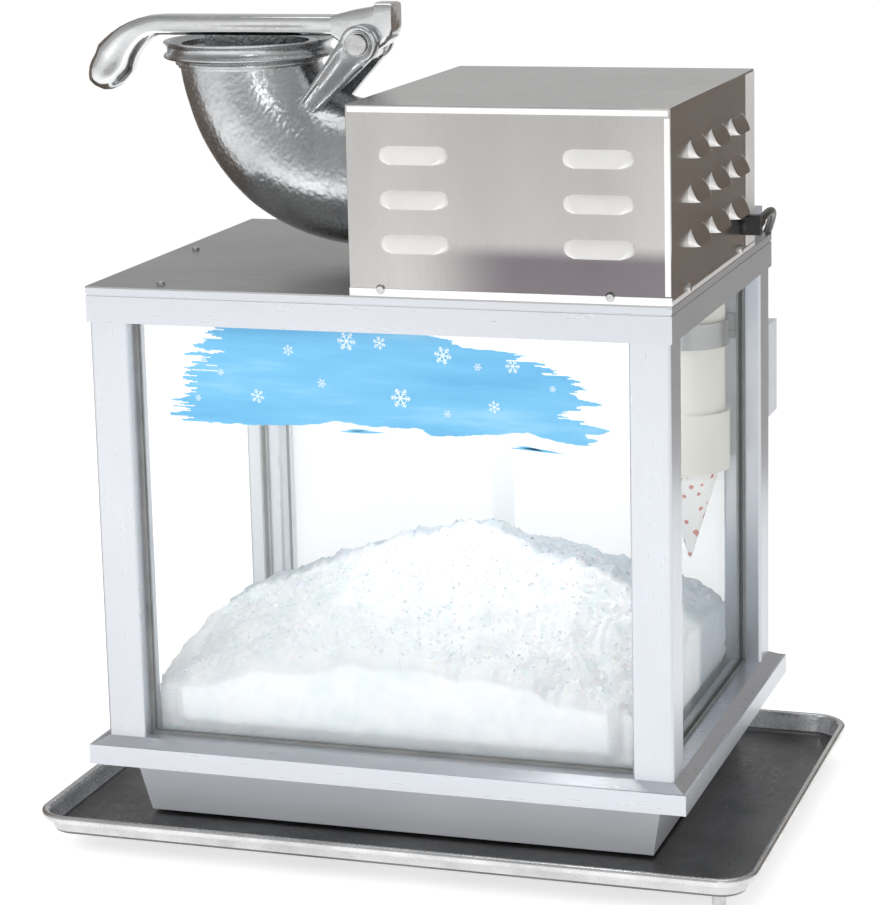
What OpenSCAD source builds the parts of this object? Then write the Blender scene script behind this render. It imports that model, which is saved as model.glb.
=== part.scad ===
// Counter-top shaved ice machine: a glazed ice cabinet standing in a sheet pan,
// with the shaving head, its lever pusher and the motor housing on the roof.
// Millimetres, +Z up, the front faces -Y. The origin is on the counter, under
// the middle of the machine.

/* [Cabinet] */
// Width of the roof frame, left to right
cab_w = 528; // [520:1:540]
// Depth of the roof frame, front to back
cab_d = 396; // [390:1:404]
// Height of the corner posts
post_h = 380; // [360:1:400]
// Width of a post's front face
post_w = 36; // [34:1:38]
// Depth of a post, front to back
post_d = 38; // [36:1:40]
// How far the base lip stands out past the roof frame
lip_out = 12; // [8:1:14]
// Thickness of the glass
glass_t = 4; // [3:0.5:5]

/* [Sheet pan] */
// Length of the pan over its rim
pan_w = 660; // [650:1:664]
// Width of the pan over its rim
pan_d = 457; // [450:1:460]
// Height of the pan's rim above its underside
pan_h = 20; // [18:1:25]
// Height of the rubber feet under the pan
foot_h = 20; // [18:1:24]

/* [Motor housing] */
// Width of the sheet metal housing
house_w = 281; // [278:1:284]
// Depth of the housing
house_d = 318; // [312:1:322]
// Height of the housing
house_h = 163; // [160:1:168]

/* [Shaving head] */
// Radius of the throat's centre line, about the lever pivot
throat_r = 117; // [116:0.5:118]
// Outer radius of the throat tube
tube_r = 66; // [65:0.5:66.5]
// Radius of the throat's bore
bore_r = 58; // [57:0.5:59]
// Outer radius of the hopper's rim
rim_r = 77.5; // [76:0.5:80]

/* [Hidden] */
$fn = 64;
sheet_t = 1.5;
gap = 0.5;

// Levels above the pan's underside
tub_z = 4;
lip_z = 59;
lip_h = 18;
rail_z = 83;
post_z = rail_z;
roof_z = post_z + post_h;
plate_z = roof_z + 30.5;
house_z = plate_z + sheet_t;

half_w = cab_w / 2;
half_d = cab_d / 2;
post_x = half_w - 2;
post_y = half_d - 2;
lip_x = half_w + lip_out;
lip_y = half_d + lip_out;

// The pan stands a little right of the cabinet and forward of it
pan_dx = 10;
pan_dy = -20;

// Glazing: the slots' middle lines and how deep the panes sit in them
slot_w = 8;
slot_depth = 8;
front_slot_y = -post_y + 18;
side_slot_x = post_x - 19;
pane_in = slot_depth - 1;

// Shaving head: the lever pivot, and the blade shaft's axis below it
head_y = -30;
pivot_x = -55;
pivot_z = house_z + 199;
shaft_z = pivot_z - throat_r;
rim_top = pivot_z + 3;
house_x0 = half_w - house_w;
house_y0 = -half_d;
flange_x = -12;
drum_x = flange_x + 10;
drum_r = 76;
drum_bore = 66;
drum_w = 42;
disc_r = 62;
ear_y = 15;
ear_t = 10;
ear_r = 17;
bolt_r = 5;
bush_r = 7.5;
lever_w = 29;
shaft_r = 8;
run_fit = 0.05;

// Motor
motor_x = 75;
motor_l = 130;
motor_r = 66;

// Rear doors: two lanes, the left door in the outer one
lane_out = 183;
lane_in = 172;
door_w = 234;
door_t = 4;
door_z0 = rail_z + 7.5;
door_z1 = roof_z - 5;

// Cone dispenser
cone_x = 201;
cone_y = 124;
cone_r = 34;
cone_z0 = 282;

// Switch box on the rear right post
box_x0 = 222;
box_y1 = 232;
box_z0 = 317;
box_z1 = 406;
rocker_x = 242;
rocker_r = 14;
rocker_back = 8;

// Mains cord: its route down behind the cabinet, then its coil
cord_r = 4;
floor_z = -foot_h;
cord_route = [
    [274, 98, 522], [274, 118, 523], [273, 142, 523], [271, 166, 520], [266, 190, 511],
    [258, 211, 496], [247, 227, 475], [234, 237, 450], [223, 242, 420], [215, 244, 386],
    [212, 244, 345], [212, 244, 300], [212, 244, 250], [212, 244, 200], [212, 244, 150],
    [210, 244, 110], [203, 245, 74], [190, 246, 42], [171, 246, 15], [148, 245, -5],
    [122, 244, -14], [96, 244, -16]
];
coil_x = 90;
coil_y = 294;
coil_r = 46;
coil_w = 16;

// Middle of the machine's own box, which the origin lies under
grip_end = -328;
box_back = box_y1 + 4;
shift_x = -(grip_end + pan_dx + pan_w / 2) / 2;
shift_y = -(box_back + pan_dy - pan_d / 2) / 2;

// Puts a module drawn about the cabinet's middle into the machine's frame
module in_place() {
    translate([shift_x, shift_y, foot_h])
        children();
}

// A block given by its two opposite corners
module block(a, b) {
    translate(a)
        cube(b - a);
}

// A block centred on X and Y, from z0 to z1
module slab(w, d, z0, z1) {
    translate([-w / 2, -d / 2, z0])
        cube([w, d, z1 - z0]);
}

// A plate with rounded corners, centred on X and Y
module round_slab(w, d, r, z0, z1) {
    translate([0, 0, z0])
        linear_extrude(z1 - z0)
            offset(r = r)
                square([w - 2 * r, d - 2 * r], center = true);
}

// A cylinder along +X from x0 to x1
module x_rod(r, x0, x1, y = head_y, z = shaft_z) {
    translate([x0, y, z])
        rotate([0, 90, 0])
            cylinder(r = r, h = x1 - x0);
}

// A cylinder along +Y from y0 to y1
module y_rod(r, y0, y1, x, z) {
    translate([x, y0, z])
        rotate([-90, 0, 0])
            cylinder(r = r, h = y1 - y0);
}

// A profile drawn as [distance from the pivot, across], swept about the lever
// pivot from a0 to a1 degrees below the level of the mouth
module about_pivot(a0, a1) {
    translate([pivot_x, head_y, pivot_z])
        rotate([90, 0, 0])
            rotate([0, 0, 180 + a0])
                rotate_extrude(angle = a1 - a0, $fn = 96)
                    children();
}

// ---- Sheet pan ----

module pan_form(grow, z0, z1) {
    hull() {
        round_slab(pan_w - 20 + 2 * grow, pan_d - 20 + 2 * grow, 26 + grow, z0, z0 + 0.2);
        round_slab(pan_w - 8 + 2 * grow, pan_d - 8 + 2 * grow, 30 + grow, z1 - 0.2, z1);
    }
}

drain_x = 296;
drain_y = -198;

module drip_pan() {
    color("dimgray")
        in_place()
            translate([pan_dx, pan_dy, 0])
                difference() {
                    union() {
                        pan_form(0, 0, pan_h - 4);
                        round_slab(pan_w, pan_d, 33, pan_h - 6, pan_h);
                    }
                    pan_form(-1.2, 1.2, pan_h + 2);
                    translate([drain_x, drain_y, -1])
                        cylinder(r = 6, h = 4);
                }
}

module pan_drain_tube() {
    color("silver")
        in_place()
            translate([pan_dx + drain_x, pan_dy + drain_y, 0])
                difference() {
                    union() {
                        translate([0, 0, -16])
                            cylinder(r = 6, h = 17.2);
                        translate([0, 0, -3])
                            cylinder(r = 10, h = 3);
                    }
                    translate([0, 0, -17])
                        cylinder(r = 4.5, h = 20);
                }
}

module pan_feet() {
    color("black")
        in_place()
            for (x = [-230, 230], y = [-130, 130])
                translate([pan_dx + x, pan_dy + y, -foot_h])
                    cylinder(r1 = 13, r2 = 16, h = foot_h);
}

// ---- Cabinet base ----

tub_w = 472;
tub_d = 331;
tub_flare = 21;

module tub_form(grow, z0, z1) {
    hull() {
        slab(tub_w + 2 * grow, tub_d + 2 * grow, z0, z0 + 0.2);
        slab(tub_w + tub_flare + 2 * grow, tub_d + tub_flare + 2 * grow, z1 - 0.2, z1);
    }
}

module base_tub() {
    color("gainsboro")
        in_place()
            difference() {
                union() {
                    tub_form(0, tub_z, lip_z);
                    slab(cab_w - 16, cab_d - 16, lip_z - sheet_t, lip_z);
                }
                tub_form(-sheet_t, tub_z + sheet_t, lip_z + 1);
                translate([150, -100, 0])
                    cylinder(r = 8, h = 20);
            }
}

module tub_feet() {
    color("black")
        in_place()
            for (x = [-200, 200], y = [-130, 130])
                translate([x, y, 1.2])
                    cylinder(r = 12, h = tub_z - 1.2);
}

grate_z = 30;

module drain_grate() {
    color("silver")
        in_place() {
            difference() {
                slab(464, 320, grate_z, grate_z + sheet_t);
                for (i = [-4:4], j = [-2:2])
                    translate([i * 48 - 16, j * 58 - 3, grate_z - 1])
                        cube([32, 6, 4]);
            }
            for (x = [-210, 210], y = [-140, 140])
                translate([x, y, tub_z + sheet_t])
                    cylinder(r = 6, h = grate_z - tub_z - sheet_t);
        }
}

module bottom_frame() {
    color("whitesmoke")
        in_place()
            difference() {
                union() {
                    slab(2 * lip_x, 2 * lip_y, lip_z, lip_z + lip_h);
                    hull() {
                        slab(2 * lip_x - 5, 2 * lip_y - 5, lip_z + lip_h, lip_z + lip_h + 0.1);
                        slab(2 * post_x, 2 * post_y, rail_z - 0.1, rail_z);
                    }
                }
                slab(464, 332, lip_z - 1, rail_z + 1);
                glass_slots(rail_z - 7, rail_z + 1);
            }
}

// The slots that hold the three panes
module glass_slots(z0, z1) {
    translate([0, front_slot_y, 0])
        slab(2 * (post_x - post_w + slot_depth), slot_w, z0, z1);
    for (s = [-1, 1])
        translate([s * side_slot_x, 0, 0])
            slab(slot_w, 2 * (post_y - post_d + slot_depth), z0, z1);
}

// ---- Posts and roof ----

module post(sx, sy) {
    color("whitesmoke")
        in_place()
            scale([sx, sy, 1])
                translate([0, 0, post_z])
                    linear_extrude(post_h)
                        difference() {
                            offset(r = 3)
                                translate([post_x - post_w + 3, post_y - post_d + 3])
                                    square([post_w - 6, post_d - 6]);
                            translate([post_x - post_w - 1, -front_slot_y - slot_w / 2])
                                square([slot_depth + 1, slot_w]);
                            translate([side_slot_x - slot_w / 2, post_y - post_d - 1])
                                square([slot_w, slot_depth + 1]);
                            translate([post_x - 12, post_y - 12])
                                circle(r = 6);
                        }
}

module top_frame() {
    color("whitesmoke")
        in_place()
            difference() {
                slab(cab_w, cab_d, roof_z, plate_z);
                slab(cab_w - 6, cab_d - 6, roof_z + 3, plate_z + 1);
                slab(cab_w - 72, cab_d - 72, roof_z - 1, roof_z + 4);
                glass_slots(roof_z - 1, roof_z + 4);
                difference() {
                    slab(cab_w + 1, cab_d + 1, plate_z - 7, plate_z - 5.5);
                    slab(cab_w - 1.6, cab_d - 1.6, plate_z - 8, plate_z - 5);
                }
            }
}

plate_holes = [[-244, 6], [-201, -176], [-201, 176], [100, 182], [-100, 182]];

module top_plate() {
    color("darkgray")
        in_place()
            difference() {
                slab(cab_w, cab_d, plate_z, house_z);
                block([drum_x - gap, head_y - 44 - gap, plate_z - 1],
                      [drum_x + drum_w + gap, head_y + 44 + gap, house_z + 1]);
                for (p = plate_holes)
                    translate([p[0], p[1], plate_z - 1])
                        cylinder(r = 2, h = 4);
            }
}

module plate_screws() {
    color("silver")
        in_place()
            for (p = plate_holes)
                translate([p[0], p[1], 0]) {
                    translate([0, 0, house_z])
                        cylinder(r1 = 4, r2 = 3, h = 2.5);
                    translate([0, 0, plate_z - 4])
                        cylinder(r = 2, h = house_z - plate_z + 4);
                }
}

// ---- Glazing ----

front_pane_w = 2 * (post_x - post_w + pane_in);
side_pane_w = 2 * (post_y - post_d + pane_in);
pane_z0 = rail_z - 6;
pane_z1 = roof_z + 11;

module front_glass() {
    color("lightcyan", 0.3)
        in_place()
            translate([0, front_slot_y, 0])
                slab(front_pane_w, glass_t, pane_z0, pane_z1);
}

module side_glass(s) {
    color("lightcyan", 0.3)
        in_place()
            translate([s * side_slot_x, 0, 0])
                slab(glass_t, side_pane_w, pane_z0, pane_z1);
}

// A gasket round a pane of width w, drawn facing Y
module gasket(w) {
    lip = 3;
    inset = 2 * (slot_depth + lip);
    difference() {
        slab(w + 2, slot_w, pane_z0 - 1, roof_z + 2.9);
        slab(w + 2 - inset, slot_w + 1, rail_z + lip - 0.5, roof_z - lip + 0.5);
        slab(w, glass_t, pane_z0, pane_z1);
    }
}

module glass_gaskets() {
    color("dimgray")
        in_place() {
            translate([0, front_slot_y, 0])
                gasket(front_pane_w);
            for (s = [-1, 1])
                translate([s * side_slot_x, 0, 0])
                    rotate([0, 0, 90])
                        gasket(side_pane_w);
        }
}

// A plain blue banner on the front glass, with a torn left and right end
module front_decal() {
    top = roof_z - 3;
    color("deepskyblue")
        in_place()
            translate([0, front_slot_y - glass_t / 2, 0])
                rotate([90, 0, 0])
                    linear_extrude(0.3)
                        polygon([[-178, top], [206, top], [186, top - 24], [206, top - 38],
                            [168, top - 50], [202, top - 66], [150, top - 84], [60, top - 78],
                            [-120, top - 82], [-198, top - 88], [-176, top - 66],
                            [-196, top - 46], [-166, top - 30]]);
}

// ---- Rear doors ----

module track(z0, z1, g0, g1) {
    color("silver")
        in_place()
            difference() {
                block([-post_x + post_w, 166, z0], [post_x - post_w, 190, z1]);
                for (y = [lane_out, lane_in])
                    block([-300, y - 3, g0], [300, y + 3, g1]);
            }
}

module lower_door_track() {
    track(rail_z, rail_z + 12, rail_z + 7, rail_z + 13);
}

module upper_door_track() {
    track(roof_z - 14, roof_z, roof_z - 15, roof_z - 4);
}

pull_r = 15;
pull_z = 128;
left_door_x = -post_x + post_w + 1;
right_door_x = -left_door_x;

module door(x0, y) {
    color("white", 0.4)
        in_place()
            difference() {
                block([x0, y - door_t / 2, door_z0], [x0 + door_w, y + door_t / 2, door_z1]);
                for (x = [x0 + 22, x0 + door_w - 22])
                    y_rod(pull_r, y - 5, y + 5, x, pull_z);
            }
}

// Flush finger cups pressed into a door's two holes, so that the doors pass
module door_pull(x0, y) {
    color("gray")
        in_place()
            for (x = [x0 + 22, x0 + door_w - 22])
                difference() {
                    union() {
                        y_rod(pull_r, y - 3, y + 3, x, pull_z);
                        y_rod(pull_r + 3, y + 2, y + 3, x, pull_z);
                    }
                    y_rod(pull_r - 3, y - 2, y + 4, x, pull_z);
                }
}

// ---- Cabinet contents ----

heap_x = 224;
heap_y0 = -164;
heap_y1 = 156;
heap_nx = 14;
heap_ny = 10;

function heap_z(x, y) = 234 - 0.4 * (norm([x - 15, 1.1 * (y - 30), 40]) - 40);
function heap_point(i, j) = [
    -heap_x + 2 * heap_x * i / heap_nx,
    heap_y0 + (heap_y1 - heap_y0) * j / heap_ny
];
function heap_at(i, j, top) = let (p = heap_point(i, j))
    [p[0], p[1], top ? heap_z(p[0], p[1]) : grate_z + sheet_t];

function split_quad(q) = [[q[0], q[1], q[2]], [q[0], q[2], q[3]]];
function halves(quads) = [for (q = quads, t = split_quad(q)) t];

module ice_heap() {
    n = heap_ny + 1;
    count = (heap_nx + 1) * n;
    points = [for (top = [1, 0], i = [0:heap_nx], j = [0:heap_ny]) heap_at(i, j, top == 1)];
    cells = [for (i = [0:heap_nx - 1], j = [0:heap_ny - 1])
        [i * n + j, i * n + j + 1, (i + 1) * n + j + 1, (i + 1) * n + j]];
    base = [for (q = cells) [q[3] + count, q[2] + count, q[1] + count, q[0] + count]];
    edge = concat([for (i = [0:heap_nx]) i * n], [for (j = [1:heap_ny]) heap_nx * n + j],
        [for (i = [heap_nx - 1:-1:0]) i * n + heap_ny], [for (j = [heap_ny - 1:-1:1]) j]);
    walls = [for (k = [0:len(edge) - 1]) let (a = edge[k], b = edge[(k + 1) % len(edge)])
        [a, b, b + count, a + count]];
    color("white")
        in_place()
            polyhedron(points, halves(concat(cells, base, walls)));
}

cone_top = roof_z - 2;

module cone_tube() {
    color("ivory")
        in_place()
            translate([cone_x, cone_y, 0])
                difference() {
                    translate([0, 0, cone_z0 + 4])
                        cylinder(r = cone_r, h = cone_top - cone_z0 - 4);
                    translate([0, 0, cone_z0])
                        cylinder(r = cone_r - 2, h = 300);
                }
}

module cone_collar() {
    color("ivory")
        in_place()
            translate([cone_x, cone_y, 0])
                difference() {
                    translate([0, 0, cone_z0])
                        cylinder(r = cone_r + 4, h = 56);
                    translate([0, 0, cone_z0 + 4])
                        cylinder(r = cone_r, h = 60);
                    translate([0, 0, cone_z0 - 1])
                        cylinder(r = 30.8, h = 10);
                }
}

module cone_bracket() {
    color("silver")
        in_place()
            difference() {
                union() {
                    block([cone_x + 20, cone_y + 20, 400], [post_x - post_w + 6, post_y - post_d - 1, 424]);
                    translate([cone_x, cone_y, 400])
                        cylinder(r = cone_r + 3, h = 24);
                    block([post_x - post_w - 8, post_y - post_d - 3, 400],
                          [post_x - post_w + 12, post_y - post_d, 424]);
                }
                translate([cone_x, cone_y, 390])
                    cylinder(r = cone_r, h = 50);
            }
}

// A nested stack: the lowest cone, and the rims of those above it
module paper_cones() {
    tip_z = 193;
    cone_h = 95;
    color("white")
        in_place()
            translate([cone_x, cone_y, 0])
                difference() {
                    union() {
                        translate([0, 0, tip_z])
                            cylinder(r1 = 1, r2 = 31, h = cone_h);
                        translate([0, 0, tip_z + cone_h])
                            cylinder(r = 31, h = 120);
                    }
                    translate([0, 0, tip_z + 6])
                        cylinder(r1 = 1, r2 = 29.5, h = cone_h - 5.9);
                    translate([0, 0, tip_z + cone_h])
                        cylinder(r = 29.5, h = 130);
                }
}

// ---- Motor housing ----

louver_l = 61;
louver_h = 15;
louver_out = 9;
louver_rows = [541, 578.5, 616];
front_louver_x = [43, 203];
side_louver_y = [-108.5, -31, 46];

// One louver hood facing -Y about its middle: a wedge open underneath
module hood(l = louver_l, h = louver_h, out = louver_out) {
    translate([-l / 2, 0, -h / 2])
        rotate([90, 0, 90])
            difference() {
                linear_extrude(l)
                    polygon([[0, 0], [0, h], [-1.2, h], [-out, 2], [-out, 0]]);
                translate([0, 0, 1.2])
                    linear_extrude(l - 2.4)
                        polygon([[1, -1], [1, h - 3], [-0.2, h - 3], [-out + 1.4, 1], [-out + 1.4, -1]]);
            }
}

module louver_hole() {
    block([-louver_l / 2 + 1.2, -2, -louver_h / 2], [louver_l / 2 - 1.2, 3, louver_h / 2 - 3]);
}

module at_louvers() {
    for (z = louver_rows) {
        for (x = front_louver_x)
            translate([x, house_y0, z])
                children();
        for (y = side_louver_y)
            translate([half_w, y, z])
                rotate([0, 0, 90])
                    children();
    }
}

module motor_housing() {
    y1 = house_y0 + house_d;
    top = house_z + house_h;
    color("silver")
        in_place() {
            difference() {
                block([house_x0, house_y0, house_z], [half_w, y1, top]);
                block([house_x0 + sheet_t, house_y0 + sheet_t, house_z - 1],
                      [half_w - sheet_t, y1 - sheet_t, top - sheet_t]);
                x_rod(tube_r + gap, house_x0 - 1, house_x0 + 5);
                at_louvers()
                    louver_hole();
                translate([half_w - 3, gland_y, gland_z])
                    rotate([0, 90, 0])
                        cylinder(r = 6, h = 6);
            }
            at_louvers()
                hood();
        }
}

module housing_screws() {
    color("gray")
        in_place() {
            for (x = [11, 212])
                translate([x, house_y0, house_z + 6])
                    rotate([90, 0, 0])
                        cylinder(r1 = 4.5, r2 = 3, h = 2.5);
            for (y = [-140, 60])
                translate([half_w, y, house_z + 6])
                    rotate([0, 90, 0])
                        cylinder(r1 = 4.5, r2 = 3, h = 2.5);
        }
}

// ---- Motor ----

module motor_shell() {
    color("dimgray")
        in_place()
            difference() {
                x_rod(motor_r, motor_x, motor_x + motor_l);
                x_rod(motor_r - 3, motor_x - 1, motor_x + motor_l + 1);
            }
}

module motor_stator() {
    color("peru")
        in_place()
            difference() {
                x_rod(motor_r - 3, motor_x + 18, motor_x + motor_l - 18);
                x_rod(42, motor_x, motor_x + motor_l);
            }
}

module bell(x0, boss) {
    color("gray")
        in_place()
            difference() {
                union() {
                    x_rod(motor_r, x0, x0 + 8);
                    x_rod(20, min(x0, x0 + boss), max(x0 + 8, x0 + 8 + boss));
                }
                x_rod(shaft_r + run_fit, x0 - 30, x0 + 40);
            }
}

module motor_left_bell() {
    bell(motor_x - 8, -6);
}

module motor_right_bell() {
    bell(motor_x + motor_l, 6);
}

module motor_shaft() {
    color("lightgray")
        in_place() {
            x_rod(shaft_r, drum_x + 3, motor_x + motor_l + 20);
            x_rod(40, motor_x + 22, motor_x + motor_l - 22);
        }
}

module motor_cradle() {
    color("silver")
        in_place()
            difference() {
                block([motor_x + 15, head_y - 48, house_z], [motor_x + motor_l - 15, head_y + 48, shaft_z - 40]);
                x_rod(motor_r, motor_x, motor_x + motor_l);
                block([motor_x + 18, head_y - 44, house_z - 1], [motor_x + motor_l - 18, head_y + 44, house_z + 8]);
            }
}

module capacitor() {
    color("darkslategray")
        in_place()
            x_rod(18, 90, 175, 78, house_z + 18);
}

// ---- Shaving head ----

module shave_head() {
    color("silver")
        in_place()
            difference() {
                union() {
                    x_rod(drum_r, drum_x, drum_x + drum_w);
                    block([drum_x, head_y - 44, plate_z - 14], [drum_x + drum_w, head_y + 44, shaft_z - 40]);
                    block([drum_x - 8, head_y - 54, house_z], [drum_x + drum_w + 8, head_y + 54, house_z + 4]);
                }
                x_rod(drum_bore, drum_x - 20, drum_x + drum_w - 6);
                block([drum_x + 4, head_y - 40, plate_z - 20], [drum_x + drum_w - 6, head_y + 40, shaft_z - 30]);
                x_rod(shaft_r + 2, drum_x, drum_x + drum_w + 20);
            }
}

knife_angles = [0, 120, 240];

module blade_disc() {
    color("silver")
        in_place()
            difference() {
                x_rod(disc_r, drum_x + 3, drum_x + 9);
                x_rod(shaft_r, drum_x, drum_x + 20);
                translate([0, head_y, shaft_z])
                    for (a = knife_angles)
                        rotate([a, 0, 0])
                            block([drum_x, -5, 16], [drum_x + 12, 5, 56]);
            }
}

module blade_knives() {
    color("lightgray")
        in_place()
            translate([0, head_y, shaft_z])
                for (a = knife_angles)
                    rotate([a, 0, 0])
                        translate([drum_x + 3, 5, 16])
                            rotate([90, 0, 90])
                                mirror([0, 0, 1])
                                    linear_extrude(1.5)
                                        polygon([[0, 0], [14, 0], [14, 40], [0, 40], [-3, 38], [-3, 2]]);
}

module disc_nut() {
    color("silver")
        in_place()
            translate([drum_x - 7, head_y, shaft_z])
                rotate([0, 90, 0])
                    cylinder(r = 13, h = 10, $fn = 6);
}

// One ear of the pivot fork, from its eye down to the throat's flank
module ear(s) {
    y0 = s > 0 ? ear_y : -ear_y - ear_t;
    difference() {
        hull() {
            y_rod(ear_r, head_y + y0, head_y + y0 + ear_t, pivot_x, pivot_z, $fn = 32);
            y_rod(14, head_y + y0, head_y + y0 + ear_t, pivot_x - 28, pivot_z - 44, $fn = 32);
        }
        y_rod(bush_r, head_y - 40, head_y + 40, pivot_x, pivot_z);
        about_pivot(0, 90)
            translate([throat_r, 0])
                circle(r = bore_r + 3);
    }
}

// The hopper's rim, a lip that flares out from the throat's mouth
module hopper_rim() {
    translate([pivot_x - throat_r, head_y, rim_top])
        rotate_extrude()
            polygon([[bore_r + 1, -14], [bore_r + 1, -6], [rim_r - 4, 0], [rim_r - 1, 0],
                [rim_r, -2], [rim_r, -11], [rim_r - 2, -14]]);
}

module elbow_throat() {
    color("silver")
        in_place() {
            about_pivot(0, 90)
                translate([throat_r, 0])
                    difference() {
                        circle(r = tube_r);
                        circle(r = bore_r);
                    }
            hopper_rim();
            difference() {
                union() {
                    x_rod(tube_r, pivot_x, flange_x);
                    x_rod(drum_r, flange_x, drum_x);
                }
                x_rod(bore_r, pivot_x - 1, drum_x + 1);
            }
            for (s = [-1, 1])
                ear(s);
        }
}

module throat_bolts() {
    color("gray")
        in_place()
            for (a = [45, 135, 225, 315])
                translate([flange_x - 3, head_y + 71 * sin(a), shaft_z + 71 * cos(a)])
                    rotate([0, 90, 0])
                        cylinder(r = 3, h = 3);
}

// ---- Pusher ----

bar_z0 = pivot_z + 6;
bar_z1 = pivot_z + 24;

module lever_outline() {
    hull() {
        translate([-309, pivot_z - 22])
            circle(r = 19);
        translate([-288, pivot_z + 3])
            circle(r = 13);
    }
    hull() {
        translate([-288, pivot_z + 3])
            circle(r = 13);
        translate([-262, pivot_z + 14.5])
            circle(r = 9.5);
    }
    translate([-262, bar_z0])
        square([222, bar_z1 - bar_z0]);
    hull() {
        translate([pivot_x, pivot_z])
            circle(r = ear_r - 1);
        translate([pivot_x - 30, bar_z0])
            square([50, bar_z1 - bar_z0]);
    }
    translate([pivot_x + 12, pivot_z])
        square([16, 36]);
}

module pusher_lever() {
    color("silver")
        in_place()
            difference() {
                translate([0, head_y + lever_w / 2, 0])
                    rotate([90, 0, 0])
                        linear_extrude(lever_w)
                            lever_outline();
                y_rod(bolt_r + run_fit, head_y - 40, head_y + 40, pivot_x, pivot_z);
                y_rod(13, head_y - 40, head_y - lever_w / 2 + 4, -309, pivot_z - 22);
                y_rod(13, head_y + lever_w / 2 - 4, head_y + 40, -309, pivot_z - 22);
            }
}

push_angle = 70;

module pusher_head() {
    color("silver")
        in_place() {
            about_pivot(0, push_angle + 2)
                translate([throat_r - 38, -5])
                    square([76, 10]);
            about_pivot(push_angle, push_angle + 4)
                translate([throat_r, 0])
                    circle(r = bore_r - 4);
            block([pivot_x - throat_r - 38, head_y - 5, pivot_z - 1],
                  [pivot_x - throat_r + 38, head_y + 5, bar_z0]);
        }
}

module pivot_bolt() {
    color("gray")
        in_place() {
            y_rod(bolt_r, head_y - 28, head_y + 32, pivot_x, pivot_z);
            y_rod(9, head_y - 31, head_y - 27, pivot_x, pivot_z);
            y_rod(9, head_y + 27, head_y + 33, pivot_x, pivot_z, $fn = 6);
        }
}

module pivot_bushes() {
    color("goldenrod")
        in_place()
            for (s = [-1, 1])
                difference() {
                    y_rod(bush_r, head_y + s * 20 - ear_t / 2, head_y + s * 20 + ear_t / 2, pivot_x, pivot_z);
                    y_rod(bolt_r, head_y - 40, head_y + 40, pivot_x, pivot_z);
                }
}

// ---- Lamp ----

lamp_x = 110;
lamp_y = 120;

module lamp_socket() {
    color("ivory")
        in_place()
            block([lamp_x, lamp_y - 16, plate_z - 28], [lamp_x + 26, lamp_y + 16, plate_z]);
}

module lamp_bulb() {
    color("white", 0.6)
        in_place()
            x_rod(11, lamp_x - 56, lamp_x, lamp_y, plate_z - 14);
}

// ---- Switches ----

module switch_box() {
    color("gainsboro")
        in_place()
            difference() {
                block([box_x0, post_y, box_z0], [post_x, box_y1, box_z1]);
                block([box_x0 + 2, post_y + 2, box_z0 + 2], [post_x - 2, box_y1 - 2, box_z1 - 2]);
                for (z = [rocker_z1, rocker_z0])
                    block([rocker_x - 6, box_y1 - 4, z - 12], [rocker_x + 6, box_y1 + 1, z + 12]);
            }
}

rocker_z1 = 386;
rocker_z0 = 338;

// A rocker: a drum about its own pin, with two flats that meet at its middle
module rocker(z) {
    color("black")
        in_place()
            translate([rocker_x, box_y1 - rocker_back, z])
                rotate([-8, 0, 0])
                    rotate([90, 0, 90])
                        translate([0, 0, -5.5])
                            linear_extrude(11)
                                intersection() {
                                    circle(r = rocker_r - 0.6);
                                    polygon([[-4, -16], [14, -13], [10, 0], [14, 13], [-4, 16]]);
                                }
}

module cord_bracket() {
    color("gainsboro")
        in_place()
            difference() {
                union() {
                    block([214, 160, house_z], [256, 194, house_z + 2]);
                    block([214, 192, house_z], [256, 194, house_z + 26]);
                }
                y_rod(5, 190, 196, 240, house_z + 15);
            }
}

// ---- Mains cord ----

gland_y = 74;
gland_z = 522;

module strain_relief() {
    color("black")
        in_place() {
            translate([half_w - sheet_t - 3, gland_y, gland_z])
                rotate([0, 90, 0])
                    cylinder(r = 6, h = sheet_t + 3);
            translate([half_w, gland_y - 9, gland_z - 9])
                cube([18, 12, 18]);
            translate([274, gland_y, gland_z])
                rotate([-90, 0, 0])
                    cylinder(r1 = 8, r2 = 5.5, h = 24);
        }
}

// Points on a smooth curve through the route
function spline_at(p, i, t) = let (
        a = p[max(i - 1, 0)], b = p[i], c = p[i + 1], d = p[min(i + 2, len(p) - 1)])
    0.5 * (2 * b + (c - a) * t + (2 * a - 5 * b + 4 * c - d) * t * t
        + (3 * b - a - 3 * c + d) * t * t * t);
function spline(p, n) = concat(
    [for (i = [0:len(p) - 2], k = [0:n - 1]) spline_at(p, i, k / n)], [p[len(p) - 1]]);
function unit(v) = v / norm(v);
function tangent(p, i) = unit(p[min(i + 1, len(p) - 1)] - p[max(i - 1, 0)]);

// A tube of radius r swept along the points, with n sides
module swept_tube(p, r, n) {
    aside = [1, 1, -1];
    rings = [for (i = [0:len(p) - 1]) let (
            t = tangent(p, i), u = unit(cross(t, aside)), v = cross(t, u))
        for (k = [0:n - 1]) p[i] + r * (cos(360 * k / n) * u + sin(360 * k / n) * v)];
    last = (len(p) - 1) * n;
    sides = [for (i = [0:len(p) - 2], k = [0:n - 1]) let (m = (k + 1) % n)
        [i * n + k, (i + 1) * n + k, (i + 1) * n + m, i * n + m]];
    triangles = [for (q = sides, h = [0, 1]) h == 0 ? [q[0], q[1], q[2]] : [q[0], q[2], q[3]]];
    polyhedron(rings, concat(triangles, [[for (k = [0:n - 1]) k]],
        [[for (k = [n - 1:-1:0]) last + k]]));
}

module power_cord() {
    color("black")
        in_place()
            swept_tube(spline(cord_route, 2), cord_r, 8);
}

module cord_coil() {
    color("black")
        in_place()
            translate([coil_x, coil_y, floor_z])
                rotate_extrude()
                    translate([coil_r - coil_w / 2, 0])
                        square([coil_w, coil_w]);
}

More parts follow.
